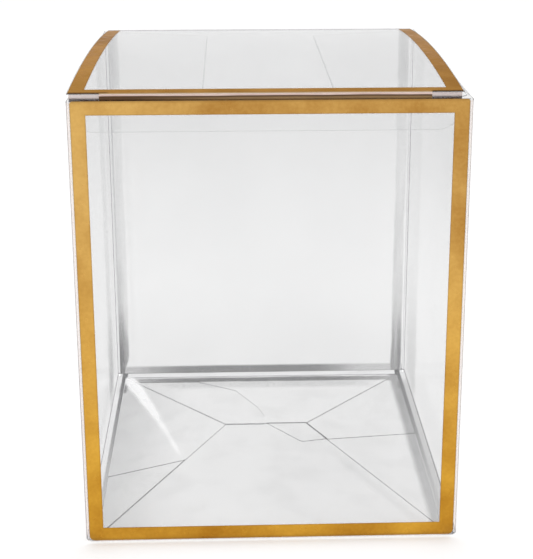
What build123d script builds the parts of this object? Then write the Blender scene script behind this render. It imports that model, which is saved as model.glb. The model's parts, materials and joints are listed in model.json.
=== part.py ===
"""Clear folding card box with foil-edged front and lid.

The box is one die-cut clear sheet, folded along creases, glued at a corner seam and at a
self-locking floor, and closed by a tuck-in lid.  Each panel or flap between two creases is its
own piece, and the creases are rounded strips that join them.  Gold foil borders are stamped on
the front panel and on the lid.

Origin: centre of the footprint, on the surface the box stands on.  +Z up, front faces -Y, mm.
"""
from build123d import *
from math import cos, radians, sin
import os

os.makedirs("parts", exist_ok=True)

# --- driving dimensions -------------------------------------------------------------------
WIDTH = 250.0           # outer width of the footprint
DEPTH = 300.0           # outer depth of the footprint
HEIGHT = 300.0          # standing height of the four wall panels
SHEET = 0.5             # thickness of the clear sheet
CREASE_R = 2.0          # outer radius of a folded wall crease
BEAD_R = 0.5            # radius of a living-hinge bead
HINGE_GAP = 0.7         # free gap between a living-hinge bead and the flap that turns on it
GLUE = 0.1              # thickness of a glue film
FOIL = 0.1              # thickness of a stamped foil border
SEAM_WIDTH = 15.0       # width of the glued corner seam flap

FLOOR_MARGIN = 5.0      # flat strip round the floor that the box stands on
FLOOR_GAP = 0.3         # gap between that strip and the sloping floor flaps
FLOOR_RISE = 18.0       # height of the floor's ridge above its edges
RIDGE_HALF = 31.0       # half the length of the floor's ridge

LID_INSET = 3.0         # the lid is narrower than the box by this on each side
LID_ARCH = 5.5          # how far the lid bows up between its back and front folds
LID_LIFT = 4.0          # the closed lid's front fold stands above the front panel by this
FOLD_SETBACK = 2.2      # the lid's front fold lies behind the box's front face by this
TUCK_DEPTH = 24.0       # height of the tuck flap behind the front panel
TUCK_LEAN = 3.0         # degrees that the tuck flap leans into the box
SLIT = 20.0             # length of the slit lock at each end of the tuck fold

DUST_REACH = 82.0       # how far a dust flap reaches in from its side panel
DUST_DROOP = 2.0        # degrees that a dust flap slopes down into the box

FOIL_SIDE = 9.5         # width of the upright foil strips
FOIL_END = 8.0          # width of the level foil strips
FOIL_MARGIN_SIDE = 2.3  # clear margin outside the upright strips
FOIL_MARGIN_END = 0.8   # clear margin outside the level strips

# --- derived places -----------------------------------------------------------------------
HALF_X = WIDTH / 2
HALF_Y = DEPTH / 2
FLAT_X = HALF_X - CREASE_R                  # half width of the flat part of the front and back
FLAT_Y = HALF_Y - CREASE_R                  # half width of the flat part of a side
HINGE_Z = HEIGHT - BEAD_R                   # height of the lid's and the dust flaps' hinges
WALL_TOP = HINGE_Z - BEAD_R                 # top edge of the back panel and the corner creases
LID_AXIS = HALF_Y - SHEET / 2               # the lid turns over the middle of the back panel
DUST_AXIS = HALF_X - SHEET - BEAD_R         # dust flaps turn on beads inside the side panels
LID_HALF = HALF_X - LID_INSET
LID_BACK = LID_AXIS - BEAD_R - HINGE_GAP    # back edge of the lid panel
FOLD_Y = -HALF_Y + FOLD_SETBACK             # axis of the tuck fold
FOLD_Z = HEIGHT + LID_LIFT
LID_FRONT = FOLD_Y + BEAD_R                 # front edge of the lid panel, on the fold bead
FLOOR_X = FLAT_X - FLOOR_MARGIN - FLOOR_GAP   # edges of the sloping floor, from above
FLOOR_Y = FLAT_Y - FLOOR_MARGIN - FLOOR_GAP
LAYER = SHEET + GLUE                        # pitch of the stacked floor sheets


def save(piece, label):
    """Name a finished piece and write it to its own file."""
    piece.part.label = label
    export_step(piece.part, f"parts/{label}.step")


# --- walls --------------------------------------------------------------------------------
def wall_plane(angle):
    """Plane on the outer face of a wall: 0 is the front, 90 right, 180 back, 270 left."""
    outward = Vector(sin(radians(angle)), -cos(radians(angle)), 0)
    along = Vector(cos(radians(angle)), sin(radians(angle)), 0)
    distance = HALF_Y if angle in (0, 180) else HALF_X
    return Plane(origin=outward * distance, x_dir=along, z_dir=outward)


def wall_panel(label, angle, top):
    """Flat part of one wall, between its corner creases and above its bottom crease."""
    half_width = FLAT_X if angle in (0, 180) else FLAT_Y
    with BuildPart() as panel:
        with BuildSketch(wall_plane(angle)):
            with Locations((0, (CREASE_R + top) / 2)):
                Rectangle(2 * half_width, top - CREASE_R)
        extrude(amount=-SHEET)
    save(panel, label)


def foil_outline():
    """Frame of foil, stamped flush into the front panel's face, drawn in the active sketch."""
    bottom = CREASE_R + FOIL_MARGIN_END
    tall = HEIGHT - FOIL_MARGIN_END - bottom
    wide = WIDTH - 2 * FOIL_MARGIN_SIDE
    with Locations((0, bottom + tall / 2)):
        RectangleRounded(wide, tall, FOIL_MARGIN_SIDE)
        Rectangle(wide - 2 * FOIL_SIDE, tall - 2 * FOIL_END, mode=Mode.SUBTRACT)


def corner_crease(label, side_x, side_y):
    """Quarter-round strip that joins two walls at an upright corner."""
    with BuildPart() as crease:
        with BuildSketch(Plane.XY.offset(CREASE_R)):
            with Locations((side_x * FLAT_X, side_y * FLAT_Y)):
                Circle(CREASE_R)
                Circle(CREASE_R - SHEET, mode=Mode.SUBTRACT)
            with Locations((side_x * (FLAT_X + CREASE_R / 2), side_y * (FLAT_Y + CREASE_R / 2))):
                Rectangle(CREASE_R, CREASE_R, mode=Mode.INTERSECT)
        extrude(amount=WALL_TOP - CREASE_R)
    save(crease, label)


def bottom_crease(label, angle):
    """Quarter-round fold under one wall, with the flat margin that the box stands on."""
    outer = wall_plane(angle)
    across = Plane(origin=(0, 0, 0), x_dir=outer.z_dir, z_dir=-outer.x_dir)
    fold, half_length = (FLAT_Y, FLAT_X) if angle in (0, 180) else (FLAT_X, FLAT_Y)
    with BuildPart() as crease:
        with BuildSketch(across):
            with Locations((fold, CREASE_R)):
                Circle(CREASE_R)
                Circle(CREASE_R - SHEET, mode=Mode.SUBTRACT)
            with Locations((fold + CREASE_R / 2, CREASE_R / 2)):
                Rectangle(CREASE_R, CREASE_R, mode=Mode.INTERSECT)
        extrude(amount=half_length, both=True)
        with BuildSketch(Plane(origin=(0, 0, 0), x_dir=outer.z_dir, z_dir=(0, 0, 1))):
            with BuildLine():
                Polyline(
                    (fold, half_length - FLOOR_GAP),
                    (fold - FLOOR_MARGIN, half_length - FLOOR_MARGIN - FLOOR_GAP),
                    (fold - FLOOR_MARGIN, FLOOR_GAP + FLOOR_MARGIN - half_length),
                    (fold, FLOOR_GAP - half_length),
                    close=True,
                )
            make_face()
        extrude(amount=SHEET)
    save(crease, label)


with BuildPart() as front_panel:
    with BuildSketch(wall_plane(0)):
        with Locations((0, (CREASE_R + HEIGHT) / 2)):
            Rectangle(2 * FLAT_X, HEIGHT - CREASE_R)
    extrude(amount=-SHEET)
    with BuildSketch(wall_plane(0)):
        foil_outline()
    extrude(amount=-FOIL, mode=Mode.SUBTRACT)
save(front_panel, "front_panel")

with BuildPart() as front_foil:
    with BuildSketch(wall_plane(0)):
        foil_outline()
    extrude(amount=-FOIL)
save(front_foil, "front_foil_border")

wall_panel("right_side_panel", 90, HINGE_Z)
wall_panel("back_panel", 180, WALL_TOP)
wall_panel("left_side_panel", 270, HINGE_Z)

corner_crease("front_left_corner_crease", -1, -1)
corner_crease("front_right_corner_crease", 1, -1)
corner_crease("back_right_corner_crease", 1, 1)
corner_crease("back_left_corner_crease", -1, 1)

bottom_crease("front_bottom_crease", 0)
bottom_crease("right_bottom_crease", 90)
bottom_crease("back_bottom_crease", 180)
bottom_crease("left_bottom_crease", 270)


# --- glued corner seam, inside the back panel's left edge ----------------------------------
SEAM_MID_X = -FLAT_X + FLOOR_GAP + SEAM_WIDTH / 2
SEAM_MID_Z = (CREASE_R + WALL_TOP) / 2
SEAM_CHAMFER = 6.0      # angled ends that keep the seam flap out of the folds
SEAM_GLUE_EDGE = 2.0    # the glue line stops this far inside the flap's edges
SEAM_HEIGHT = WALL_TOP - 2 * CREASE_R

with BuildPart() as seam_glue:
    with BuildSketch(Plane.XZ.offset(SHEET - HALF_Y)):
        with Locations((SEAM_MID_X, SEAM_MID_Z)):
            Rectangle(SEAM_WIDTH - 2 * SEAM_GLUE_EDGE, SEAM_HEIGHT - 2 * SEAM_CHAMFER)
    extrude(amount=GLUE)
save(seam_glue, "seam_glue_line")

with BuildPart() as seam_flap:
    with BuildSketch(Plane.XZ.offset(SHEET + GLUE - HALF_Y)) as seam_outline:
        with Locations((SEAM_MID_X, SEAM_MID_Z)):
            Rectangle(SEAM_WIDTH, SEAM_HEIGHT)
        chamfer(seam_outline.vertices().group_by(Axis.X)[-1], SEAM_CHAMFER)
    extrude(amount=SHEET)
save(seam_flap, "corner_seam_flap")


# --- self-locking floor, tented up to a ridge ----------------------------------------------
def facet_plane(side_x, side_y):
    """Slope of the floor that rises from one wall's floor edge to the ridge."""
    edge_mid = Vector(side_x * FLOOR_X, side_y * FLOOR_Y, 0)
    ridge_point = Vector(side_x * RIDGE_HALF, 0, FLOOR_RISE)
    along = Vector(-side_y, side_x, 0)
    uphill = ridge_point - edge_mid
    return Plane(origin=edge_mid, x_dir=along, z_dir=along.cross(uphill))


def floor_sheet(label, slope, layer, outline, thickness=SHEET, rounded=None):
    """Flat sheet on a floor slope, from its outline as seen from above."""
    normal = slope.z_dir
    corners = []
    for x, y in outline:
        rise = (normal.X * (slope.origin.X - x) + normal.Y * (slope.origin.Y - y)) / normal.Z
        local = slope.to_local_coords(Vector(x, y, slope.origin.Z + rise))
        corners.append((local.X, local.Y))
    with BuildPart() as sheet:
        with BuildSketch(slope.offset(layer)) as face:
            with BuildLine():
                Polyline(*corners, close=True)
            make_face()
            if rounded:
                corner, radius = rounded
                fillet(face.vertices().sort_by_distance(corners[corner])[0], radius)
        extrude(amount=thickness)
    save(sheet, label)


def on_hip(side_x, side_y, part_way):
    """Point on the fold line from a floor corner (0) to the ridge's end (1), from above."""
    x = FLOOR_X + (RIDGE_HALF - FLOOR_X) * part_way
    y = FLOOR_Y * (1 - part_way)
    return side_x * x, side_y * y


FRONT_SLOPE = facet_plane(0, -1)
BACK_SLOPE = facet_plane(0, 1)
LEFT_SLOPE = facet_plane(-1, 0)
RIGHT_SLOPE = facet_plane(1, 0)

RIDGE_GAP = 0.2         # sheets stop this far short of the ridge
HOOK_REACH = 28.0       # how far the locking hook passes over the ridge
HOOK_WIDTH = 26.0
HOOK_ROUND = 5.0
HOOK_END = 0.83         # where the hook's edge crosses the front right fold line
WING_EDGE_Y = 17.0      # where the glue wing's edge reaches the right wall
TAB_END = 0.65          # where the front tab's edge meets the front left fold line
TAB_EDGE_Y = -52.0      # where that edge reaches the left wall
TAB_GLUE_INSET = 6.0    # the glue patches stop this far inside their flaps' edges
WING_GLUE_INSET = 8.0

floor_sheet("left_bottom_flap", LEFT_SLOPE, 0, [
    on_hip(-1, -1, 0), on_hip(-1, -1, 1), on_hip(-1, 1, 0),
])
floor_sheet("right_bottom_flap", RIGHT_SLOPE, 0, [
    on_hip(1, -1, 0), on_hip(1, 1, 0), on_hip(1, 1, 1),
])
floor_sheet("left_flap_inner_leaf", BACK_SLOPE, 0, [
    (-RIDGE_HALF, RIDGE_GAP),
    (-1, RIDGE_GAP),
    (-1, 24),
    (-6, 48),
    (-23, 98),
    (-55, 127),
    on_hip(-1, 1, 0.1),
])
floor_sheet("front_bottom_flap", FRONT_SLOPE, LAYER, [
    on_hip(-1, -1, 0),
    on_hip(1, -1, 0),
    (RIDGE_HALF, -RIDGE_GAP),
    (-RIDGE_HALF, -RIDGE_GAP),
])
floor_sheet("back_bottom_flap", BACK_SLOPE, LAYER, [
    on_hip(1, 1, 0),
    on_hip(-1, 1, 0),
    (-RIDGE_HALF, RIDGE_GAP),
    (RIDGE_HALF, RIDGE_GAP),
])
floor_sheet("front_flap_glue_tab", LEFT_SLOPE, LAYER, [
    on_hip(-1, -1, 0), on_hip(-1, -1, TAB_END), (-FLOOR_X, TAB_EDGE_Y),
])
floor_sheet("back_flap_glue_wing", RIGHT_SLOPE, LAYER, [
    on_hip(1, 1, 1),
    on_hip(1, -1, HOOK_END),
    (FLOOR_X, WING_EDGE_Y),
    on_hip(1, 1, 0),
])
floor_sheet("back_flap_lock_hook", FRONT_SLOPE, 2 * LAYER, [
    (RIDGE_GAP, -RIDGE_GAP),
    (HOOK_WIDTH, -HOOK_REACH),
    on_hip(1, -1, HOOK_END),
    (RIDGE_HALF, -RIDGE_GAP),
], rounded=(1, HOOK_ROUND))
floor_sheet("left_tab_glue_patch", LEFT_SLOPE, SHEET, [
    on_hip(-1, -1, 0.12),
    on_hip(-1, -1, TAB_END - 0.1),
    (TAB_GLUE_INSET - FLOOR_X, TAB_EDGE_Y - TAB_GLUE_INSET),
], thickness=GLUE)
floor_sheet("right_wing_glue_patch", RIGHT_SLOPE, SHEET, [
    (RIDGE_HALF + 3 * WING_GLUE_INSET, WING_EDGE_Y),
    (FLOOR_X - WING_GLUE_INSET, WING_EDGE_Y + 3 * WING_GLUE_INSET),
    (FLOOR_X - WING_GLUE_INSET, FLOOR_Y - 4 * WING_GLUE_INSET),
], thickness=GLUE)


# --- living-hinge beads --------------------------------------------------------------------
def bead(label, plane, half_length):
    """Thin round bead along a fold line, where a flap turns."""
    with BuildPart() as strip:
        with BuildSketch(plane):
            Circle(BEAD_R)
        extrude(amount=half_length, both=True)
    save(strip, label)


DUST_ROOT_HALF = 136.0  # half length of a dust flap's fold

bead("lid_hinge_crease", Plane(origin=(0, LID_AXIS, HINGE_Z), z_dir=(1, 0, 0)), LID_HALF)
bead("tuck_fold_crease", Plane(origin=(0, FOLD_Y, FOLD_Z), z_dir=(1, 0, 0)), LID_HALF - SLIT)
bead("left_dust_crease", Plane(origin=(-DUST_AXIS, 0, HINGE_Z), z_dir=(0, 1, 0)), DUST_ROOT_HALF)
bead("right_dust_crease", Plane(origin=(DUST_AXIS, 0, HINGE_Z), z_dir=(0, 1, 0)), DUST_ROOT_HALF)


# --- lid, bowed between its back and front folds --------------------------------------------
def bow_points(lift):
    """Back, middle and front point of the lid's bow, at a height above its mid-thickness."""
    middle_z = (HINGE_Z + FOLD_Z) / 2 + LID_ARCH
    return (
        (LID_BACK, HINGE_Z + lift),
        ((LID_BACK + LID_FRONT) / 2, middle_z + lift),
        (LID_FRONT, FOLD_Z + lift),
    )


def bowed_sheet(underside, thickness, half_width):
    """Sheet that follows the lid's bow, from one height above its mid-thickness."""
    with BuildPart() as sheet:
        with BuildSketch(Plane.YZ):
            with BuildLine():
                low = ThreePointArc(*bow_points(underside))
                high = ThreePointArc(*bow_points(underside + thickness))
                Line(low @ 0, high @ 0)
                Line(low @ 1, high @ 1)
            make_face()
        extrude(amount=half_width, both=True)
    return sheet


save(bowed_sheet(-SHEET / 2, SHEET, LID_HALF), "lid_panel")

LID_FOIL_MARGIN = 0.6   # clear edge outside the lid's foil
LID_FOIL_BACK = 4.0     # the side strips stop this far short of the back fold
LID_FOIL_HALF = LID_HALF - LID_FOIL_MARGIN
FOIL_WINDOW_FRONT = LID_FRONT + FOIL_END

with BuildPart() as lid_foil:
    add(bowed_sheet(SHEET / 2, FOIL, LID_FOIL_HALF).part)
    with Locations((0, FOIL_WINDOW_FRONT, FOLD_Z)):
        Box(
            2 * (LID_FOIL_HALF - FOIL_SIDE), DEPTH, HEIGHT,
            align=(Align.CENTER, Align.MIN, Align.CENTER), mode=Mode.SUBTRACT,
        )
    with Locations((0, LID_BACK - LID_FOIL_BACK, FOLD_Z)):
        Box(
            WIDTH, DEPTH, HEIGHT,
            align=(Align.CENTER, Align.MIN, Align.CENTER), mode=Mode.SUBTRACT,
        )
save(lid_foil, "lid_foil_border")


# --- tuck flap on the lid's front fold --------------------------------------------------------
TUCK_ROUND = 14.0       # rounded lower corners
TUCK_INSET = 1.5        # the flap is narrower than the lid by this on each side
TUCK_FOIL = 2.5         # depth of foil that wraps over the fold on to the flap
TUCK_TOP = BEAD_R + HINGE_GAP

lean = radians(TUCK_LEAN)
TUCK_FACE = Plane(origin=(0, FOLD_Y, FOLD_Z), x_dir=(1, 0, 0), z_dir=(0, -cos(lean), -sin(lean)))

with BuildPart() as tuck:
    with BuildSketch(TUCK_FACE) as tuck_outline:
        with Locations((0, -TUCK_TOP)):
            Rectangle(
                2 * (LID_HALF - TUCK_INSET), TUCK_DEPTH - TUCK_TOP,
                align=(Align.CENTER, Align.MAX),
            )
        fillet(tuck_outline.vertices().group_by(Axis.Y)[0], TUCK_ROUND)
    extrude(amount=SHEET / 2, both=True)
save(tuck, "tuck_flap")

with BuildPart() as tuck_foil:
    with BuildSketch(TUCK_FACE.offset(SHEET / 2)):
        with Locations((0, -TUCK_TOP)):
            Rectangle(2 * (LID_HALF - SLIT), TUCK_FOIL, align=(Align.CENTER, Align.MAX))
    extrude(amount=FOIL)
save(tuck_foil, "tuck_foil_strip")


# --- dust flaps on the side panels -------------------------------------------------------------
DUST_FRONT = -143.5     # the flap's front edge, close behind the tuck flap
DUST_BACK = 141.0       # the flap's back edge at its widest
DUST_SHOULDER = 8.0     # distance over which the flap widens from its fold
DUST_TAPER = 6.0        # the back edge slopes forward by this towards the free edge
DUST_ROUND = 4.0


def dust_flap(label, side):
    """Flap that turns in from a side panel's top, under the closed lid."""
    droop = radians(DUST_DROOP)
    face = Plane(
        origin=(side * DUST_AXIS, 0, HINGE_Z),
        x_dir=(-side * cos(droop), 0, -sin(droop)),
        z_dir=(-side * sin(droop), 0, cos(droop)),
    )
    root = BEAD_R + HINGE_GAP
    outline = [
        (root, -DUST_ROOT_HALF),
        (DUST_SHOULDER, DUST_FRONT),
        (DUST_REACH, DUST_FRONT),
        (DUST_REACH, DUST_BACK - DUST_TAPER),
        (DUST_SHOULDER, DUST_BACK),
        (root, DUST_ROOT_HALF),
    ]
    with BuildPart() as flap:
        with BuildSketch(face) as shape:
            with BuildLine():
                Polyline(*[(reach, -side * y) for reach, y in outline], close=True)
            make_face()
            fillet(shape.vertices().group_by(Axis.X)[-1], DUST_ROUND)
        extrude(amount=SHEET / 2, both=True)
    save(flap, label)


dust_flap("left_dust_flap", -1)
dust_flap("right_dust_flap", 1)
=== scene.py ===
"""Looks of the clear wedding card box: clear creased sheet, gold foil borders, pale studio."""
import json
import math

import bmesh
import bpy
from mathutils import Matrix, Vector


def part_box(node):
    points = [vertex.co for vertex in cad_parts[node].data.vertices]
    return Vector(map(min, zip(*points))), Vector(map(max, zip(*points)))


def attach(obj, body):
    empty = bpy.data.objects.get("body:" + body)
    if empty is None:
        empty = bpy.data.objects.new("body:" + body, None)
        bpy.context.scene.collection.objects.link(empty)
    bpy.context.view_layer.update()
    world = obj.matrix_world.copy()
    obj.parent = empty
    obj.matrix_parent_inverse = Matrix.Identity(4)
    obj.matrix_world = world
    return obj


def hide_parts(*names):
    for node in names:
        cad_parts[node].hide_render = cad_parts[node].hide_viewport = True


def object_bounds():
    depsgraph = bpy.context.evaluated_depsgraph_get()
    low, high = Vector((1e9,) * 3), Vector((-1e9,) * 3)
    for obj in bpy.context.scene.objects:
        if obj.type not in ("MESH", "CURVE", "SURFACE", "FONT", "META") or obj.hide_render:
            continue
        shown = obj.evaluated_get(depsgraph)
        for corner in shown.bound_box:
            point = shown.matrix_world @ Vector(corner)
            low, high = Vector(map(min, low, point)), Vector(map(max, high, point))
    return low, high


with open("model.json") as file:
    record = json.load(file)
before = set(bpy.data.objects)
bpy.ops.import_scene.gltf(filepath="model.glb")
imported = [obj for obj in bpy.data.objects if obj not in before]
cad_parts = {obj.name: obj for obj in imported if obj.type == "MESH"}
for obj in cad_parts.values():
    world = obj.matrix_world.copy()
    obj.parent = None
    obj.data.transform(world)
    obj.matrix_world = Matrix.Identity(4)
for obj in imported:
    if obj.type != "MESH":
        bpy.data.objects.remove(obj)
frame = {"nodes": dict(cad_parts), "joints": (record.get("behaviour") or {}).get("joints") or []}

MM = 0.001
cad_low, cad_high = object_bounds()

# --- places read from the CAD model -----------------------------------------------------------
front_low, front_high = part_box("front_panel")
back_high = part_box("back_panel")[1]
side_low, side_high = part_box("right_side_panel")
lid_low, lid_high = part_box("lid_panel")
tuck_low, tuck_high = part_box("tuck_flap")
HALF_X = side_high.x                    # outer faces of the walls
HALF_Y = -front_low.y
SHEET = side_high.x - side_low.x
FLAT_X = front_high.x                   # half widths of the flat parts of the walls
FLAT_Y = side_high.y
BOTTOM = front_low.z
WALL_TOP = front_high.z
JOINTS = {joint["name"]: joint for joint in frame["joints"]}

# --- sizes of the visual model only -------------------------------------------------------------
LID_SKEW = -2.7 * MM                    # sideways set of the lid's front end
LID_ARCH = 5.5 * MM
WALL_BULGE = 0.6 * MM
FOIL = 0.1 * MM                         # thickness of the foil sheets
FOIL_SIDE = 9.5 * MM                    # width of the long foil strips
FOIL_END = 8.0 * MM                     # width of the front border's top and bottom strips
LID_FOIL_END = 9.6 * MM                 # width of the lid border's front strip
RIM_TONE = 0.8 * MM                     # reach of the darker tone along a sheet's outline


# --- camera -----------------------------------------------------------------------------------
def make_camera():
    """Camera before the box, a little to its left, looking down at it."""
    azimuth, elevation = math.radians(-2.21), math.radians(18.26)
    data = bpy.data.cameras.new("camera")
    data.lens = 92.29
    data.sensor_width = 36.0
    data.shift_x = -0.0315
    data.shift_y = 0.0072
    camera = bpy.data.objects.new("camera", data)
    camera.location = (-0.0253, -1.016, 0.4678)
    forward = Vector((
        -math.sin(azimuth) * math.cos(elevation),
        math.cos(azimuth) * math.cos(elevation),
        -math.sin(elevation),
    ))
    camera.rotation_euler = forward.to_track_quat("-Z", "Y").to_euler()
    bpy.context.scene.collection.objects.link(camera)
    bpy.context.scene.camera = camera


# --- shader helpers ----------------------------------------------------------------------------
class Shader:
    """Short-hand for building one node material."""

    def __init__(self, name):
        self.material = bpy.data.materials.new(name)
        self.material.use_nodes = True
        self.tree = self.material.node_tree
        self.tree.nodes.clear()
        self.output = self.tree.nodes.new("ShaderNodeOutputMaterial")

    def node(self, kind, inputs=(), **settings):
        made = self.tree.nodes.new(kind)
        for key, value in settings.items():
            setattr(made, key, value)
        for key, value in dict(inputs).items():
            self.put(made.inputs[key], value)
        return made

    def put(self, socket, value):
        if isinstance(value, bpy.types.NodeSocket):
            self.tree.links.new(value, socket)
        else:
            socket.default_value = value

    def math(self, operation, first, second=0.0, clamp=False):
        made = self.node("ShaderNodeMath", operation=operation, use_clamp=clamp)
        self.put(made.inputs[0], first)
        self.put(made.inputs[1], second)
        return made.outputs[0]

    def ramp(self, value, start, end, low=0.0, high=1.0):
        """Smooth step of a value from one level to another."""
        made = self.node("ShaderNodeMapRange", interpolation_type="SMOOTHSTEP")
        for index, entry in enumerate((value, start, end, low, high)):
            self.put(made.inputs[index], entry)
        return made.outputs[0]

    def noise(self, scale, detail=3.0, stretch=(1, 1, 1)):
        place = self.node("ShaderNodeTexCoord").outputs["Object"]
        mapped = self.node("ShaderNodeMapping", {"Vector": place, "Scale": stretch})
        made = self.node("ShaderNodeTexNoise", {
            "Vector": mapped.outputs[0], "Scale": scale, "Detail": detail,
        })
        return made.outputs[0]

    def mix_colour(self, share, first, second):
        made = self.node("ShaderNodeMix", data_type="RGBA")
        self.put(made.inputs["Factor"], share)
        self.put(made.inputs[6], first)
        self.put(made.inputs[7], second)
        return made.outputs[2]

    def place(self):
        """X, Y and Z of the point in the part's frame, at rest."""
        place = self.node("ShaderNodeTexCoord").outputs["Object"]
        return self.node("ShaderNodeSeparateXYZ", {"Vector": place}).outputs

    def finish(self, surface):
        self.tree.links.new(surface, self.output.inputs["Surface"])
        return self.material


PLASTIC_IOR = 1.5


def see_through(shader, cover, colour, roughness=0.08):
    """A film that hides a share of what is behind it and shows its own colour and gloss."""
    film = shader.node("ShaderNodeBsdfPrincipled", {
        "Base Color": colour, "Roughness": roughness, "IOR": PLASTIC_IOR,
    })
    clear = shader.node("ShaderNodeBsdfTransparent")
    mixed = shader.node("ShaderNodeMixShader", {0: cover})
    shader.tree.links.new(clear.outputs[0], mixed.inputs[1])
    shader.tree.links.new(film.outputs[0], mixed.inputs[2])
    return shader.finish(mixed.outputs[0])


FILM_GREY = (0.28, 0.285, 0.295, 1)
SHADE = (0.035, 0.035, 0.04, 1)
LIGHT = (0.95, 0.95, 0.96, 1)


def film_cover(shader, film):
    """Share that one clear face hides: faint uneven haze, more of it at a glancing angle."""
    glance = shader.node("ShaderNodeFresnel", {"IOR": PLASTIC_IOR}).outputs[0]
    haze = shader.ramp(shader.noise(9.0), 0.3, 0.7, film * 0.85, film * 1.15)
    return shader.math("ADD", haze, shader.math("MULTIPLY", glance, film * 1.5))


def clear_face(shader, film, shade=None, light=None):
    """Clear film with optional painted shade and painted highlights, both given from 0 to 1."""
    cover, colour = film_cover(shader, film), FILM_GREY
    if shade is not None:
        cover = shader.math("ADD", cover, shader.math("MULTIPLY", shade, 0.5))
        colour = shader.mix_colour(shader.math("MULTIPLY", shade, 1.6, clamp=True), colour, SHADE)
    if light is not None:
        cover = shader.math("ADD", cover, shader.math("MULTIPLY", light, 0.55))
        colour = shader.mix_colour(shader.math("MULTIPLY", light, 9.0, clamp=True), colour, LIGHT)
    return see_through(shader, shader.math("MINIMUM", cover, 0.95), colour)


def band(shader, value, start, end, soft):
    """1 between two levels of a value, falling softly to 0 outside them."""
    rising = shader.ramp(value, start - soft, start + soft)
    falling = shader.ramp(value, end - soft, end + soft, 1.0, 0.0)
    return shader.math("MULTIPLY", rising, falling)


def uneven(shader, scale, size):
    """A random shift, up to half a size either way."""
    return shader.math("MULTIPLY", shader.math("SUBTRACT", shader.noise(scale), 0.5), size)


def painted_fold_reflections(shader, x, z, wobble):
    """Painted reflections: grey bands beside the back wall's upright folds, deepest low down and finely
    streaked.
    """
    wavy_x = shader.math("ADD", x, wobble)
    depth = shader.math("ADD", shader.ramp(z, 5 * MM, 75 * MM, 0.66, 0.26),
                        shader.ramp(z, 80 * MM, 210 * MM, 0.0, -0.15))
    streaks = shader.ramp(shader.noise(160.0, 2.0, (1, 1, 0.08)), 0.35, 0.65, 0.75, 1.2)
    depth = shader.math("MULTIPLY", depth, streaks)
    depth = shader.math("ADD", depth, shader.ramp(z, 225 * MM, 275 * MM, 0.0, 0.16))
    narrow = shader.math("ADD", wavy_x, shader.ramp(z, 2 * MM, 20 * MM, 4 * MM, 0.0))
    left = shader.math("MULTIPLY", shader.ramp(narrow, -115.6 * MM, -113.8 * MM, 1.0, 0.0),
                       shader.ramp(x, -122 * MM, -114 * MM, 1.25, 0.65))
    right = band(shader, wavy_x, 113.3 * MM, 121.7 * MM, 1.2 * MM)
    bands = shader.math("MULTIPLY", shader.math("MAXIMUM", left, right), depth)
    line = shader.math("MULTIPLY", band(shader, x, -123.4 * MM, -121.8 * MM, 0.3 * MM), 0.36)
    return shader.math("MAXIMUM", bands, line)


def painted_foot_reflection(shader, x, z, wobble):
    """Painted reflection: a grey band along the foot of the back wall, fainter towards both ends."""
    wavy_z = shader.math("ADD", z, shader.math("MULTIPLY", wobble, 0.25))
    foot = shader.ramp(wavy_z, 7.0 * MM, 9.5 * MM, 0.8, 0.0)
    along = shader.math("MULTIPLY", shader.ramp(x, -118 * MM, -60 * MM, 0.48, 1.0),
                        shader.ramp(x, 40 * MM, 92 * MM, 1.0, 0.4))
    return shader.math("MULTIPLY", foot, along)


def left_wall_shade(shader, y, z):
    """Broad upright grey band in the back half of the left wall, over a faint general tone."""
    depth = shader.math("ADD", shader.ramp(z, 10 * MM, 100 * MM, 0.5, 0.28),
                        shader.ramp(z, 100 * MM, 260 * MM, 0.0, -0.1))
    broad = shader.math("MULTIPLY", band(shader, y, 60 * MM, 101 * MM, 12 * MM), depth)
    broad = shader.math("MAXIMUM", broad, shader.ramp(y, 90 * MM, 114 * MM, 0.0, 0.1))
    return shader.math("MAXIMUM", broad, shader.ramp(z, 100 * MM, 240 * MM, 0.09, 0.0))


def right_wall_shade(shader, y, z):
    """Faint upright grey band in the back half of the right wall."""
    return shader.math("MULTIPLY", band(shader, y, 76 * MM, 141 * MM, 8 * MM),
                       shader.ramp(z, 25 * MM, 130 * MM, 0.21, 0.07))


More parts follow.
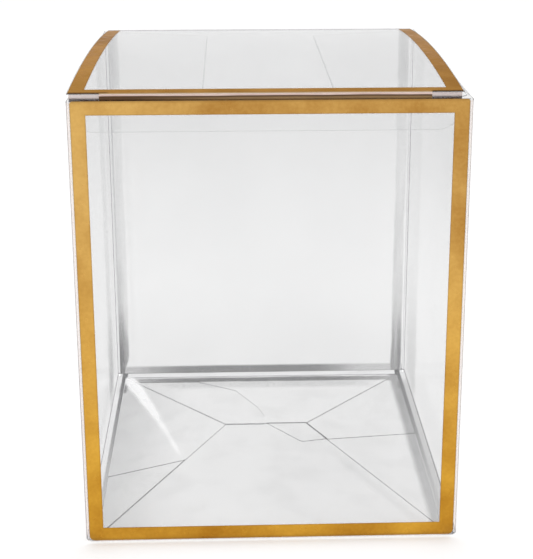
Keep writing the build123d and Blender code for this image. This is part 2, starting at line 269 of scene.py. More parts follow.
def wall_material():
    """Clear wall: painted reflections and shade as grey bands by place, a dark line at the side folds'
    roots and on the front lip.
    """
    shader = Shader("clear_wall")
    x, y, z = shader.place()
    back_wall = shader.ramp(y, HALF_Y - 4 * MM, HALF_Y - 2 * MM)
    left_wall = shader.ramp(x, 4 * MM - HALF_X, 2 * MM - HALF_X)
    right_wall = shader.ramp(x, HALF_X - 4 * MM, HALF_X - 2 * MM)

    wobble = uneven(shader, 30.0, 3 * MM)
    # Painted reflections: grey bands beside the back wall's upright folds.
    corners = shader.math("MULTIPLY", painted_fold_reflections(shader, x, z, wobble), back_wall)
    # Painted reflection along the foot of the back wall.
    foot = shader.math("MULTIPLY", painted_foot_reflection(shader, x, z, wobble), back_wall)
    left = shader.math("MULTIPLY", left_wall_shade(shader, y, z), left_wall)
    right = shader.math("MULTIPLY", right_wall_shade(shader, y, z), right_wall)
    root_depth = shader.math("ADD", shader.math("MULTIPLY", right_wall, 0.9),
                             shader.math("MULTIPLY", left_wall, 0.35))
    root = shader.math("MULTIPLY", shader.ramp(z, 3.2 * MM, 4.2 * MM, 1.0, 0.0), root_depth)
    lip = shader.math("MULTIPLY", shader.ramp(z, WALL_TOP - 0.2 * MM, WALL_TOP - 0.1 * MM),
                      shader.ramp(y, 1 * MM - HALF_Y, 5 * MM - HALF_Y, 1.6, 0.0))
    shade = corners
    for part in (foot, lip, left, right, root):
        shade = shader.math("MAXIMUM", shade, part)

    # Painted shade: darker towards the top of every wall and towards the foot of the back wall.
    painted_high_shade = shader.ramp(z, 150 * MM, 290 * MM, 0.0, 0.12)
    painted_low_shade = shader.math("MULTIPLY", shader.ramp(z, 0.0, 110 * MM, 0.1, 0.0), back_wall)
    shade = shader.math("ADD", shade, shader.math("ADD", painted_high_shade, painted_low_shade))
    return clear_face(shader, 0.064, shade)


def lid_material():
    """Plain clear film."""
    return clear_face(Shader("clear_lid"), 0.09)


def tuck_material():
    """Clear tuck flap: pale pinkish and nearly opaque, over a dark line, where it shows above the front
    wall.
    """
    shader = Shader("clear_tuck")
    z = shader.place()[2]
    shoulder = shader.ramp(z, WALL_TOP - 0.8 * MM, WALL_TOP - 0.6 * MM)
    cover = shader.math("ADD", film_cover(shader, 0.012), shader.math("MULTIPLY", shoulder, 0.7))
    pale = shader.mix_colour(shader.noise(35.0), (0.42, 0.33, 0.32, 1), (0.8, 0.72, 0.7, 1))
    foot = shader.ramp(z, WALL_TOP + 0.7 * MM, WALL_TOP + 2.0 * MM, 0.95, 0.0)
    tone = shader.mix_colour(foot, pale, (0.04, 0.02, 0.02, 1))
    return see_through(shader, cover, shader.mix_colour(shoulder, FILM_GREY, tone))


def flap_material():
    """Clear flap with a thin grey line along its inner cut edge."""
    shader = Shader("clear_flap")
    x, _, z = shader.place()
    level = shader.ramp(z, WALL_TOP - 10 * MM, WALL_TOP - 8 * MM)
    inner = band(shader, shader.math("ABSOLUTE", x), 41.6 * MM, 43.0 * MM, 0.3 * MM)
    line = shader.math("MULTIPLY", shader.math("MULTIPLY", inner, level), 0.3)
    return clear_face(shader, 0.006, line)


def edge_material():
    """Cut edge of the sheet: a thin grey line, brown-black where the foiled lid meets the front and
    faint at the back ends of the dust flaps."""
    shader = Shader("cut_edge")
    _, y, z = shader.place()
    meeting = shader.math("MULTIPLY", shader.ramp(z, WALL_TOP - 3 * MM, WALL_TOP - 1 * MM),
                          shader.ramp(y, 9 * MM - HALF_Y, 6 * MM - HALF_Y))
    grey = shader.mix_colour(shader.noise(60.0), (0.1, 0.085, 0.1, 1), (0.3, 0.27, 0.3, 1))
    tone = shader.mix_colour(meeting, grey, (0.035, 0.02, 0.016, 1))
    cover = shader.ramp(meeting, 0.0, 1.0, 0.7, 0.97)
    flap_end = shader.math("MULTIPLY", shader.ramp(z, WALL_TOP - 10 * MM, WALL_TOP - 7 * MM),
                           shader.ramp(z, WALL_TOP - 0.7 * MM, WALL_TOP - 0.5 * MM, 1.0, 0.0))
    flap_end = shader.math("MULTIPLY", flap_end, shader.ramp(y, 120 * MM, 130 * MM))
    cover = shader.math("MULTIPLY", cover, shader.ramp(flap_end, 0.0, 1.0, 1.0, 0.15))
    return see_through(shader, cover, tone, 0.25)


FOIL_RIM = (0.22, 0.12, 0.04, 1)
# Painted reflection: low foil is multiplied by this, to make it warmer and deeper.
FOIL_PAINTED_LOW_TINT = (1.0, 0.89, 0.37, 1)      # what low foil is multiplied by
FOIL_DARK = (0.05, 0.025, 0.012, 1)


def mottling(shader):
    """Broad, fine and grainy patches in one value from 0 to 1."""
    broad = shader.ramp(shader.noise(13.0, 2.0), 0.35, 0.65)
    fine = shader.ramp(shader.noise(55.0, 5.0), 0.3, 0.7)
    grain = shader.ramp(shader.noise(420.0, 3.0), 0.3, 0.7)
    patch = shader.math("ADD", shader.math("MULTIPLY", broad, 0.55), shader.math("MULTIPLY", fine, 0.3))
    return shader.math("ADD", patch, shader.math("MULTIPLY", grain, 0.15))


def lid_front_ends(shader, x, y, z):
    """Dark tone at both ends of the lid foil's front edge, past the fold, and faint between them."""
    line = shader.math("MULTIPLY", shader.ramp(y, 4.4 * MM - HALF_Y, 5.6 * MM - HALF_Y, 0.9, 0.0),
                       shader.ramp(z, WALL_TOP + 0.2 * MM, WALL_TOP + 0.8 * MM))
    ends = shader.ramp(shader.math("ABSOLUTE", x), 98 * MM, 101 * MM, 0.1, 1.0)
    return shader.math("MULTIPLY", line, ends)


def foil_material(name, deep, bright, glance=(1, 1, 1, 1)):
    """Hot-stamped gold foil: satin, mottled in broad and fine patches, painted warmer and deeper low
    down as a painted reflection, darker along its edges.  The glance is the tint of its gloss at a low
    angle."""
    shader = Shader(name)
    x, y, z = shader.place()
    edge = shader.node("ShaderNodeAttribute", attribute_name="edge").outputs["Fac"]
    # Painted reflection: the foil is made warmer and deeper low down.
    painted_low_tint = shader.node("ShaderNodeMix", data_type="RGBA", blend_type="MULTIPLY")
    shader.put(painted_low_tint.inputs["Factor"], shader.ramp(z, 20 * MM, 260 * MM, 1.0, 0.0))
    shader.put(painted_low_tint.inputs[6], shader.mix_colour(mottling(shader), deep, bright))
    shader.put(painted_low_tint.inputs[7], FOIL_PAINTED_LOW_TINT)
    gold = shader.mix_colour(shader.math("MULTIPLY", edge, 0.5), painted_low_tint.outputs[2], FOIL_RIM)
    gold = shader.mix_colour(lid_front_ends(shader, x, y, z), gold, FOIL_DARK)
    roughness = shader.ramp(shader.noise(180.0, 2.0), 0.2, 0.8, 0.24, 0.42)
    bump = shader.node("ShaderNodeBump", {
        "Strength": 0.05, "Distance": 0.2 * MM, "Height": shader.noise(900.0, 2.0),
    })
    foil = shader.node("ShaderNodeBsdfPrincipled", {
        "Base Color": gold, "Metallic": 1.0, "Roughness": roughness, "Specular Tint": glance,
        "Normal": bump.outputs[0],
    })
    return shader.finish(foil.outputs[0])


def fold_material():
    """Foil on the tuck flap, below the front fold, with its light painted: a pale painted highlight at
    its top, brown-black painted dark reflection lower down, turning brown-gold towards its lower edge
    except near the left end."""
    shader = Shader("gold_foil_fold")
    x, _, z = shader.place()
    wavy_z = shader.math("ADD", z, uneven(shader, 22.0, 0.9 * MM))
    dark = shader.mix_colour(shader.noise(60.0), (0.05, 0.02, 0.008, 1), (0.12, 0.06, 0.025, 1))
    brown = shader.mix_colour(shader.noise(35.0), (0.2, 0.12, 0.05, 1), (0.42, 0.27, 0.13, 1))
    pale = shader.mix_colour(shader.noise(40.0), (0.5, 0.33, 0.27, 1), (0.85, 0.68, 0.62, 1))
    lower = shader.math("MULTIPLY",
                        shader.ramp(wavy_z, WALL_TOP + 2.3 * MM, WALL_TOP + 0.9 * MM),
                        shader.ramp(x, -95 * MM, -15 * MM, 0.1, 1.0))
    upper = shader.ramp(wavy_z, WALL_TOP + 2.4 * MM, WALL_TOP + 2.9 * MM)
    tone = shader.mix_colour(upper, shader.mix_colour(lower, dark, brown), pale)
    foil = shader.node("ShaderNodeBsdfPrincipled", {
        "Base Color": tone, "Metallic": 0.6, "Roughness": 0.35,
    })
    return shader.finish(foil.outputs[0])


def crease_line(shader, x, z):
    """The bottom creases' flat margin beside the side walls, and the line where it meets a wall."""
    inside = shader.math("SUBTRACT", HALF_X, shader.math("ABSOLUTE", x))
    margin = shader.math("MULTIPLY", shader.ramp(inside, 3.4 * MM, 4.6 * MM),
                         shader.ramp(inside, 8 * MM, 9 * MM, 1.0, 0.0))
    flat = shader.math("MULTIPLY", margin, shader.ramp(z, 2.0 * MM, 2.2 * MM, 1.0, 0.0))
    return shader.math("MAXIMUM", flat, band(shader, z, 1.9 * MM, 2.6 * MM, 0.1 * MM))


def crease_tone(shader, x, y, z):
    """Whitened sheet, with painted shade low down on the right, cream up the front corners."""
    grain = shader.noise(120.0, 2.0, (0.3, 0.3, 0.3))
    white = shader.mix_colour(grain, (0.38, 0.38, 0.4, 1), (0.78, 0.78, 0.8, 1))
    # Painted shade: the right crease is darkened low down, away from the back.
    low = shader.math("MULTIPLY", shader.ramp(z, 2.0 * MM, 2.4 * MM, 1.0, 0.0),
                      shader.ramp(y, HALF_Y - 30 * MM, HALF_Y - 12 * MM, 1.0, 0.0))
    right = shader.math("MULTIPLY", low, shader.ramp(x, 112 * MM, 116 * MM, 0.0, 0.9))
    white = shader.mix_colour(right, white, (0.05, 0.05, 0.055, 1))
    front = shader.math("MULTIPLY", shader.ramp(y, 1.2 * MM - HALF_Y, 2.2 * MM - HALF_Y, 1.0, 0.0),
                        shader.ramp(z, 3 * MM, 8 * MM))
    return shader.mix_colour(front, white, (0.88, 0.74, 0.66, 1))


def left_rim(shader, x, y, z):
    """Outermost line of the front left corner, strongest low down."""
    rim = shader.math("MULTIPLY", shader.ramp(x, 0.1 * MM - HALF_X, 0.4 * MM - HALF_X, 1.0, 0.0),
                      shader.ramp(z, 60 * MM, 190 * MM, 1.0, 0.25))
    return shader.math("MULTIPLY", rim, shader.ramp(y, 3 * MM - HALF_Y, 4 * MM - HALF_Y, 1.0, 0.0))


def crease_material():
    """Fold in the clear sheet: whitened, with a grey line where it meets a wall or the floor."""
    shader = Shader("folded_crease")
    x, y, z = shader.place()
    grey = crease_line(shader, x, z)
    grey_cover = shader.math("MULTIPLY", grey, shader.ramp(y, -100 * MM, HALF_Y - 15 * MM, 0.3, 0.6))
    cover = shader.math("ADD", shader.ramp(grey, 0.0, 1.0, 0.26, 0.0), grey_cover)
    rim = left_rim(shader, x, y, z)
    tone = shader.mix_colour(rim, crease_tone(shader, x, y, z), (0.12, 0.07, 0.14, 1))
    cover = shader.math("MAXIMUM", cover, shader.math("MULTIPLY", rim, 0.8))
    # Painted dark reflection near each back corner.
    dark_reflection = painted_corner_reflection(shader, x, y, z)
    tone = shader.mix_colour(shader.math("MAXIMUM", grey, dark_reflection), tone, SHADE)
    cover = shader.math("MAXIMUM", cover, shader.math("MULTIPLY", dark_reflection, 0.5))
    return see_through(shader, cover, tone, 0.15)


def painted_corner_reflection(shader, x, y, z):
    """Painted dark reflection on the floor close to each back corner."""
    wavy_y = shader.math("ADD", y, uneven(shader, 45.0, 9 * MM))
    deep = band(shader, wavy_y, 107 * MM, 130 * MM, 6 * MM)
    wide = band(shader, shader.math("ABSOLUTE", x), 114.5 * MM, 122 * MM, 2 * MM)
    low = shader.ramp(z, 6 * MM, 8 * MM, 1.0, 0.0)
    return shader.math("MULTIPLY", shader.math("MULTIPLY", deep, wide), low)


def buckle_highlight(shader, x, y):
    """Painted highlight along the line where the left flap has buckled, from the back corner to the
    front fold line.
    """
    start, end = Vector((-116 * MM, 143 * MM)), Vector((-62 * MM, -51 * MM))
    run = (end - start).length
    ux, uy = (end - start) / run
    dx, dy = shader.math("SUBTRACT", x, start.x), shader.math("SUBTRACT", y, start.y)
    along = shader.math("ADD", shader.math("MULTIPLY", dx, ux), shader.math("MULTIPLY", dy, uy))
    side = shader.math("SUBTRACT", shader.math("MULTIPLY", dx, uy), shader.math("MULTIPLY", dy, ux))
    half_wave = shader.math("SINE", shader.math("MULTIPLY", along, math.pi / run))
    across = shader.math("ADD", side, shader.math("MULTIPLY", half_wave, 1.8 * MM))
    width = shader.ramp(along, 0.0, run, 7.5 * MM, 3.0 * MM)
    off_line = shader.math("DIVIDE", shader.math("ABSOLUTE", across), width)
    line = shader.ramp(off_line, 0.0, 1.0, 1.0, 0.0)
    line = shader.math("MULTIPLY", line, shader.ramp(shader.noise(60.0), 0.3, 0.7, 0.7, 1.0))
    fade = 14 * MM
    ends = shader.math("MULTIPLY", band(shader, along, 0.0, run - fade, fade),
                       shader.ramp(along, 20 * MM, 150 * MM, 1.0, 0.42))
    return shader.math("MULTIPLY", line, ends)


def cut_edge_of_layer(shader, strength):
    """The steep faces round a flat piece, which are its cut edges."""
    normal = shader.node("ShaderNodeNewGeometry").outputs["Normal"]
    up = shader.math("ABSOLUTE", shader.node("ShaderNodeSeparateXYZ", {"Vector": normal}).outputs[2])
    return shader.ramp(up, 0.5, 0.6, strength, 0.0)


def front_fold_shade(shader, x, y):
    """Faint tone behind the front flap's right fold line, towards the front corner."""
    line_start = 31 * MM
    run = Vector((HALF_X - 36 * MM, -HALF_Y)).normalized()
    beside = shader.math("SUBTRACT",
                         shader.math("MULTIPLY", shader.math("SUBTRACT", x, line_start), run.y),
                         shader.math("MULTIPLY", y, run.x))
    return shader.math("MULTIPLY", shader.ramp(y, -10 * MM, -70 * MM, 0.0, 0.07),
                       band(shader, beside, 3 * MM, 10 * MM, 3 * MM))


def painted_back_floor_reflections(shader, x, y):
    """Painted reflections: a grey band along the back fold, with a rough, fainter one before it."""
    from_middle = shader.math("ABSOLUTE", x)
    wavy_y = shader.math("ADD", y, uneven(shader, 35.0, 5 * MM))
    even = shader.math("MULTIPLY",
                       band(shader, wavy_y, HALF_Y - 25 * MM, HALF_Y - 11.5 * MM, 2 * MM),
                       shader.ramp(from_middle, 60 * MM, 118 * MM, 0.85, 0.5))
    grains = shader.ramp(shader.noise(520.0, 3.0), 0.3, 0.75, 0.12, 0.36)
    rough = shader.math("MULTIPLY", grains,
                        band(shader, y, HALF_Y - 44 * MM, HALF_Y - 25 * MM, 6 * MM))
    rough = shader.math("MULTIPLY", rough, shader.ramp(from_middle, 70 * MM, 100 * MM, 1.0, 0.1))
    return shader.math("MAXIMUM", even, rough)


def floor_material():
    """Clear floor sheets: thin grey cut edges, painted reflections and shade as grey bands by the back
    and side folds, a painted highlight where the sheet has buckled and a faint unevenness all over."""
    shader = Shader("clear_floor")
    x, y, z = shader.place()
    # Painted shade: grey along the right edge, darker towards the left edge.
    right = shader.math("MULTIPLY", shader.ramp(x, 107.5 * MM, 113 * MM),
                        shader.ramp(y, -140 * MM, 120 * MM, 0.4, 0.55))
    left = shader.ramp(x, -119 * MM, -60 * MM, 0.24, 0.0)
    # Painted dark reflection near each back corner, fainter on the floor sheets.
    dark_reflection = shader.math("MULTIPLY", painted_corner_reflection(shader, x, y, z), 0.75)
    shade = cut_edge_of_layer(shader, 0.6)
    # Painted reflections along the back fold are among these parts.
    for part in (right, left, front_fold_shade(shader, x, y), painted_back_floor_reflections(shader, x, y), dark_reflection):
        shade = shader.math("MAXIMUM", shade, part)
    shade = shader.math("ADD", shade, shader.ramp(shader.noise(38.0, 4.0), 0.45, 0.7, 0.0, 0.05))
    # The light mark is a painted highlight along the left flap's buckle.
    return clear_face(shader, 0.075, shade, shader.math("MULTIPLY", buckle_highlight(shader, x, y), 0.27))


def layer_material():
    """Second layer of clear floor: only its cut edges show."""
    shader = Shader("clear_layer")
    return clear_face(shader, 0.003, cut_edge_of_layer(shader, 1.5))


def glue_material():
    """Clear glue: all but invisible, faintly milky in patches."""
    shader = Shader("clear_glue")
    cover = shader.ramp(shader.noise(150.0, 4.0), 0.35, 0.7, 0.01, 0.04)
    return see_through(shader, cover, (0.6, 0.6, 0.58, 1), 0.4)


def roll_material():
    """Rolled front fold: gold on top, where it meets the lid's border, pale and pinkish below as a
    painted highlight.
    """
    shader = Shader("rolled_fold")
    z = shader.place()[2]
    pale = shader.mix_colour(shader.noise(40.0), (0.8, 0.62, 0.55, 1), (0.95, 0.84, 0.8, 1))
    gold = shader.mix_colour(shader.noise(30.0), (0.3, 0.19, 0.08, 1), (0.45, 0.3, 0.14, 1))
    top = shader.ramp(z, WALL_TOP + 3.9 * MM, WALL_TOP + 4.1 * MM)
    cover = shader.ramp(top, 0.0, 1.0, 0.85, 0.97)
    return see_through(shader, cover, shader.mix_colour(top, pale, gold), 0.2)


# --- sheet meshes -------------------------------------------------------------------------------
def cut_lines(bm, axis, places):
    """Cut a flat mesh along lines at right angles to one axis."""
    for place in places:
        point, normal = Vector((0, 0, 0)), Vector((0, 0, 0))
        point[axis], normal[axis] = place, 1
        geometry = bm.verts[:] + bm.edges[:] + bm.faces[:]
        bmesh.ops.bisect_plane(bm, geom=geometry, plane_co=point, plane_no=normal)


def edge_distance(point, outline):
    """Distance in the flat from a point to the nearest side of an outline."""
    best = 1.0
    for start, end in zip(outline, outline[1:] + outline[:1]):
        a, b = Vector(start), Vector(end)
        along = b - a
        share = max(0, min(1, (point - a).dot(along) / along.length_squared))
        best = min(best, (point - a - along * share).length)
    return best


def spaced(low, high, step):
    """Places between two levels, about one step apart."""
    count = max(1, round((high - low) / step))
    return [low + (high - low) * index / count for index in range(1, count)]


def make_sheet(name, outline, place, thickness, materials, rise=None, step=12 * MM,
               cuts=((), ()), window=None):
    """Thin closed sheet: an outline in its own plane, cut into a grid, bowed by rise(u, v), given a
    thickness about its middle and put in its place by a matrix.  Rim faces take the second
    material.  A window is a rectangle left open."""
    bm = bmesh.new()
    bm.faces.new([bm.verts.new((u, v, 0)) for u, v in outline])
    for axis in (0, 1):
        values = [point[axis] for point in outline]
        edges = list(cuts[axis])
        if window:
            edges += [window[0][axis], window[1][axis]]
        cut_lines(bm, axis, spaced(min(values), max(values), step) + edges)
    if window:
        (u0, v0), (u1, v1) = window
        inside = [
            face for face in bm.faces
            if u0 < face.calc_center_median().x < u1 and v0 < face.calc_center_median().y < v1
        ]
        bmesh.ops.delete(bm, geom=inside, context="FACES")
    sides = [outline]
    if window:
        sides.append([(u0, v0), (u1, v0), (u1, v1), (u0, v1)])
    stamp = bm.verts.layers.float.new("edge")
    for vertex in bm.verts:
        nearest = min(edge_distance(Vector(vertex.co[:2]), side) for side in sides)
        vertex[stamp] = max(0.0, 1 - nearest / RIM_TONE)
    for vertex in bm.verts:
        vertex.co.z = (rise(vertex.co.x, vertex.co.y) if rise else 0) - thickness / 2
    bm.normal_update()
    if sum(face.normal.z for face in bm.faces) < 0:
        bmesh.ops.reverse_faces(bm, faces=bm.faces[:])
    bmesh.ops.solidify(bm, geom=bm.faces[:], thickness=-thickness)
    bm.normal_update()
    bmesh.ops.recalc_face_normals(bm, faces=bm.faces[:])
    for face in bm.faces:
        face.smooth = True
        face.material_index = 0 if abs(face.normal.z) > 0.6 else 1
    for edge in bm.edges:
        if len(edge.link_faces) == 2 and edge.calc_face_angle() > math.radians(35):
            edge.smooth = False
    mesh = bpy.data.meshes.new(name)
    bm.to_mesh(mesh)
    bm.free()
    mesh.transform(place)
    if place.determinant() < 0:
        mesh.flip_normals()
    for material in materials:
        mesh.materials.append(material)
    piece = bpy.data.objects.new(name, mesh)
    bpy.context.scene.collection.objects.link(piece)
    return piece


def lets_light_through(piece):
    """Clear film this thin leaves no shadow of its own."""
    piece.visible_shadow = False
    piece.visible_diffuse = False


def stand_for(piece, body, nodes, slot):
    """Put a piece on a body in place of CAD nodes."""
    if slot != "gold_foil":
        lets_light_through(piece)
    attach(piece, body)
    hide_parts(*nodes)


def frame_at(origin, across, up):
    """Matrix whose local X, Y and Z are across, up and their normal."""
    across, up = Vector(across).normalized(), Vector(up).normalized()
    out = across.cross(up)
    turn = Matrix((across, up, out)).transposed().to_4x4()
    return Matrix.Translation(Vector(origin)) @ turn


def rectangle(u0, u1, v0, v1):
    return [(u0, v0), (u1, v0), (u1, v1), (u0, v1)]


# --- the box ------------------------------------------------------------------------------------
def bow(depth, half_u, v0, v1):
    """Gentle pillow bulge, nothing along the sides."""
    def rise(u, v):
        return depth * math.cos(math.pi / 2 * u / half_u) * math.sin(math.pi * (v - v0) / (v1 - v0))
    return rise


def make_walls(clear, edge):
    """Four upright sheets, the front flat, the back bulging out and the sides in."""
    top = {"front_panel": front_high.z, "back_panel": back_high.z,
           "left_side_panel": side_high.z, "right_side_panel": side_high.z}
    facing = {"front_panel": (0, -1), "back_panel": (0, 1),
              "left_side_panel": (-1, 0), "right_side_panel": (1, 0)}
    bulge = {"front_panel": 0, "back_panel": WALL_BULGE,
             "left_side_panel": -WALL_BULGE, "right_side_panel": -WALL_BULGE}
    for node, (x, y) in facing.items():
        middle = (x * (HALF_X - SHEET / 2), y * (HALF_Y - SHEET / 2), 0)
        half_width = FLAT_Y if x else FLAT_X
        place = frame_at(middle, (-y, x, 0), (0, 0, 1))
        outline = rectangle(-half_width, half_width, BOTTOM, top[node])
        rise = bow(bulge[node], half_width, BOTTOM, top[node]) if bulge[node] else None
        wall = make_sheet(node + "_sheet", outline, place, SHEET, (clear, edge), rise)
        stand_for(wall, "carton", [node], "clear_sheet")


def foil_cuts(low, high, side):
    """Where a foil border needs edges across one axis, so that its rims can be toned."""
    return [low + RIM_TONE, low + side - RIM_TONE, high - RIM_TONE, high - side + RIM_TONE]


def make_front_foil(gold):
    """Front border, running a little way onto the folds above and below it."""
    low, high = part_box("front_foil_border")
    onto_bottom, onto_top = 1.4 * MM, 0.75 * MM
    bottom_corner, top_corner = 3.6 * MM, 1.6 * MM
    outline = rounded(rectangle(low.x, high.x, low.z - onto_bottom, high.z + onto_top),
                      (bottom_corner, bottom_corner, top_corner, top_corner))
    window = ((low.x + FOIL_SIDE, low.z + FOIL_END), (high.x - FOIL_SIDE, high.z - FOIL_END))
    cuts = (foil_cuts(low.x, high.x, FOIL_SIDE), foil_cuts(low.z, high.z, FOIL_END))
    place = frame_at((0, low.y, 0), (1, 0, 0), (0, 0, 1))
    foil = make_sheet("front_foil", outline, place, high.y - low.y, (gold, gold),
                      cuts=cuts, window=window)
    stand_for(foil, "carton", ["front_foil_border"], "gold_foil")


def lid_bow():
    """Height of the lid's middle surface above a depth y: a circular arc between its folds."""
    back_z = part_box("lid_hinge_crease")[0].z + 0.5 * MM
    front_z = JOINTS["tuck_fold"]["pos_m"][2]
    chord = lid_high.y - lid_low.y
    middle_y, middle_z = (lid_high.y + lid_low.y) / 2, (back_z + front_z) / 2
    slope = (back_z - front_z) / chord
    radius = (chord ** 2 / 4 + LID_ARCH ** 2) / (2 * LID_ARCH)

    def height(y):
        offset = y - middle_y
        arc = math.sqrt(radius ** 2 - offset ** 2) - (radius - LID_ARCH)
        return middle_z + slope * offset + arc
    return height


def skew(piece):
    """The lid sits slightly askew: its front end a little to the left of its back end."""
    for vertex in piece.data.vertices:
        share = (lid_high.y - vertex.co.y) / (lid_high.y - lid_low.y)
        vertex.co.x += LID_SKEW * share


def make_lid(clear, edge, gold):
    """Arched lid with its foil border on top."""
    height = lid_bow()

    def rise(u, v):
        return height(v)

    def foil_rise(u, v):
        return height(v) + SHEET / 2 + FOIL * 0.6
    level = frame_at((0, 0, 0), (1, 0, 0), (0, 1, 0))
    outline = rectangle(lid_low.x, lid_high.x, lid_low.y, lid_high.y)
    lid = make_sheet("lid_sheet", outline, level, SHEET, (clear, edge), rise, step=8 * MM)
    skew(lid)
    stand_for(lid, "lid", ["lid_panel"], "clear_sheet")

    low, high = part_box("lid_foil_border")
    window = ((low.x + FOIL_SIDE, low.y + LID_FOIL_END), (high.x - FOIL_SIDE, high.y + LID_FOIL_END))
    cuts = (
        foil_cuts(low.x, high.x, FOIL_SIDE),
        [low.y + RIM_TONE, low.y + LID_FOIL_END - RIM_TONE, high.y - RIM_TONE],
    )
    foil = make_sheet("lid_foil", rectangle(low.x, high.x, low.y, high.y), level, FOIL,
                      (gold, gold), foil_rise, step=8 * MM, cuts=cuts, window=window)
    skew(foil)
    stand_for(foil, "lid", ["lid_foil_border"], "gold_foil")


def rounded(points, radii, steps=6):
    """Outline with its corners rounded, one radius for each corner."""
    out = []
    count = len(points)
    for index, (point, radius) in enumerate(zip(points, radii)):
        here = Vector(point)
        if radius == 0:
            out.append(tuple(here))
            continue
        before = (Vector(points[index - 1]) - here).normalized()
        after = (Vector(points[(index + 1) % count]) - here).normalized()
        half_turn = before.angle(after) / 2
        reach = radius / math.tan(half_turn)
        start, end = here + before * reach, here + after * reach
        centre = here + (before + after).normalized() * (radius / math.sin(half_turn))
        first, last = start - centre, end - centre
        for step in range(steps + 1):
            share = step / steps
            turned = (first * (1 - share) + last * share).normalized() * radius
            out.append(tuple(centre + turned))
    return out


def make_roll(material):
    """Rounded bead along the lid's front fold, with eased ends."""
    low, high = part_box("tuck_fold_crease")
    middle, radius, sides = (low + high) / 2, (high.z - low.z) / 2, 16
    ease, end_share = 0.2 * MM, 0.6
    rings = [(low.x, end_share), (low.x + ease, 1.0)]
    rings += [(place, 1.0) for place in spaced(low.x, high.x, 12 * MM)]
    rings += [(high.x - ease, 1.0), (high.x, end_share)]
    bm = bmesh.new()
    loops = []
    for place, share in rings:
        loop = []
        for side in range(sides):
            turn = 2 * math.pi * side / sides
            loop.append(bm.verts.new((
                place + LID_SKEW,
                middle.y + radius * share * math.cos(turn),
                middle.z + radius * share * math.sin(turn),
            )))
        loops.append(loop)
    for first, second in zip(loops, loops[1:]):
        for side in range(sides):
            after = (side + 1) % sides
            bm.faces.new((first[side], first[after], second[after], second[side]))
    bm.faces.new(loops[0][::-1])
    bm.faces.new(loops[-1])
    bmesh.ops.recalc_face_normals(bm, faces=bm.faces[:])
    for face in bm.faces:
        face.smooth = len(face.verts) == 4
    mesh = bpy.data.meshes.new("tuck_fold_roll")
    bm.to_mesh(mesh)
    bm.free()
    mesh.materials.append(material)
    roll = bpy.data.objects.new("tuck_fold_roll", mesh)
    bpy.context.scene.collection.objects.link(roll)
    stand_for(roll, "lid", ["tuck_fold_crease"], "folded_crease")


def make_tuck(clear, edge, foil):
    """Tuck flap hanging from the lid's front fold, with the foil that runs over the fold."""
    hinge = Vector(JOINTS["tuck_fold"]["pos_m"])
    hinge.x += LID_SKEW
    low, high = tuck_low, tuck_high
    lean = math.atan2((low.y + high.y) / 2 - hinge.y, hinge.z - (low.z + high.z) / 2)
    place = frame_at(hinge, (1, 0, 0), (0, -math.sin(lean), math.cos(lean)))
    flap_top = -0.35 * MM
    flap_bottom = -(hinge.z - low.z) / math.cos(lean)
    corner = 14 * MM
    outline = rounded(rectangle(low.x, high.x, flap_bottom, flap_top), (corner, corner, 0, 0))
    flap = make_sheet("tuck_flap_sheet", outline, place, SHEET, (clear, edge))
    stand_for(flap, "tuck", ["tuck_flap"], "clear_sheet")

    strip_low, strip_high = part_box("tuck_foil_strip")
    strip_bottom, strip_top = -5.2 * MM, -0.55 * MM

    def proud(u, v):
        return SHEET / 2 + FOIL
    outline = rectangle(strip_low.x, strip_high.x, strip_bottom, strip_top)
    strip = make_sheet("tuck_foil_sheet", outline, place, FOIL, (foil, foil), proud)
    stand_for(strip, "tuck", ["tuck_foil_strip"], "gold_foil")


def make_dust_flap(side, clear, edge):
    """Dust flap, drooping slightly inwards from its crease; side is -1 on the left, 1 on the right."""
    node = ("right" if side > 0 else "left") + "_dust_flap"
    hinge = Vector(JOINTS[node.replace("flap", "hinge")]["pos_m"])
    low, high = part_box(node)
    reach_x = max(abs(hinge.x - low.x), abs(hinge.x - high.x))
    droop = math.atan2(hinge.z - low.z - SHEET / 2, reach_x)
    inward = Vector((-side * math.cos(droop), 0, -math.sin(droop)))
    place = frame_at(hinge, inward, (0, 1, 0))
    reach = reach_x / math.cos(droop)
    root, shoulder, taper = 1.2 * MM, 8 * MM, 6 * MM
    root_half = 136 * MM
    points = [(root, -root_half), (shoulder, low.y), (reach, low.y),
              (reach, high.y - taper), (shoulder, high.y), (root, root_half)]
    outline = rounded(points, (0, 0, 4 * MM, 4 * MM, 0, 0))
    flap = make_sheet(node + "_sheet", outline, place, SHEET, (clear, edge))
    stand_for(flap, node.replace("_flap", ""), [node], "clear_sheet")


SECOND_LAYER = ("back_flap_lock_hook", "back_flap_glue_wing", "left_flap_inner_leaf",
                "front_flap_glue_tab")


def dress_cad_nodes(materials):
    """Give each CAD node that still shows its material."""
    for name, node in frame["nodes"].items():
        if node.hide_render:
            continue
        kind = "floor"
        if name in SECOND_LAYER:
            kind = "layer"
        elif "crease" in name:
            kind = "crease"
        elif "glue_line" in name or "glue_patch" in name:
            kind = "glue"
        elif name == "corner_seam_flap":
            kind = "flap"
        lets_light_through(node)
        node.data.materials.clear()
        node.data.materials.append(materials[kind])


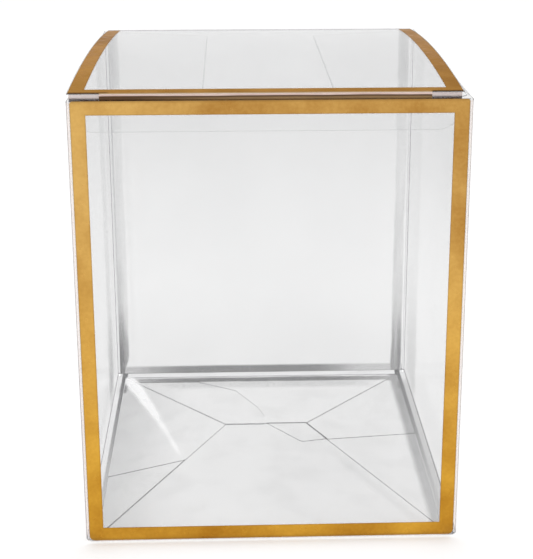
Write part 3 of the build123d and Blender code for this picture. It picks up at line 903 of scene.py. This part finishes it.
# --- studio --------------------------------------------------------------------------------------
def make_studio():
    """White surroundings, a pale floor and one broad soft lamp overhead."""
    world = bpy.data.worlds.new("studio")
    world.use_nodes = True
    background = world.node_tree.nodes["Background"]
    background.inputs["Color"].default_value = (1, 1, 1, 1)
    background.inputs["Strength"].default_value = 1.0
    bpy.context.scene.world = world

    shader = Shader("pale_floor")
    below_box = 0.2 * MM
    tone = shader.mix_colour(shader.noise(2.0), (0.95, 0.95, 0.95, 1), (0.96, 0.96, 0.96, 1))
    surface = shader.node("ShaderNodeBsdfPrincipled", {
        "Base Color": tone, "Roughness": 0.9, "Specular IOR Level": 0.1,
    })
    bm = bmesh.new()
    bmesh.ops.create_grid(bm, x_segments=8, y_segments=8, size=9.0)
    mesh = bpy.data.meshes.new("studio_floor")
    bm.to_mesh(mesh)
    bm.free()
    mesh.materials.append(shader.finish(surface.outputs[0]))
    floor = bpy.data.objects.new("studio_floor", mesh)
    floor.location.z = cad_low.z - below_box
    bpy.context.scene.collection.objects.link(floor)

    data = bpy.data.lights.new("overhead", "AREA")
    data.size = 4.0
    data.energy = 22.0
    lamp = bpy.data.objects.new("overhead", data)
    lamp.location = (0.4, 0.6, 3.2)
    lamp.rotation_euler = (Vector((0, 0, 0)) - lamp.location).to_track_quat("-Z", "Y").to_euler()
    bpy.context.scene.collection.objects.link(lamp)

    scene = bpy.context.scene
    scene.view_settings.view_transform = "Standard"
    scene.cycles.transparent_max_bounces = 40


make_camera()
edge = edge_material()
front_gold = foil_material("gold_foil", (0.42, 0.20, 0.04, 1), (0.72, 0.44, 0.13, 1))
# Painted reflection: the lid carries the front's foil, given darker and browner colours.
lid_gold = foil_material("gold_foil_lid", (0.30, 0.165, 0.05, 1), (0.54, 0.33, 0.11, 1),
                         glance=(0.7, 0.5, 0.35, 1))
fold_gold = fold_material()
make_walls(wall_material(), edge)
make_front_foil(front_gold)
make_lid(lid_material(), edge, lid_gold)
flap = flap_material()
make_tuck(tuck_material(), edge, fold_gold)
make_roll(roll_material())
make_dust_flap(-1, flap, edge)
make_dust_flap(1, flap, edge)
dress_cad_nodes({"floor": floor_material(), "layer": layer_material(),
                 "crease": crease_material(), "glue": glue_material(), "flap": flap})
make_studio()
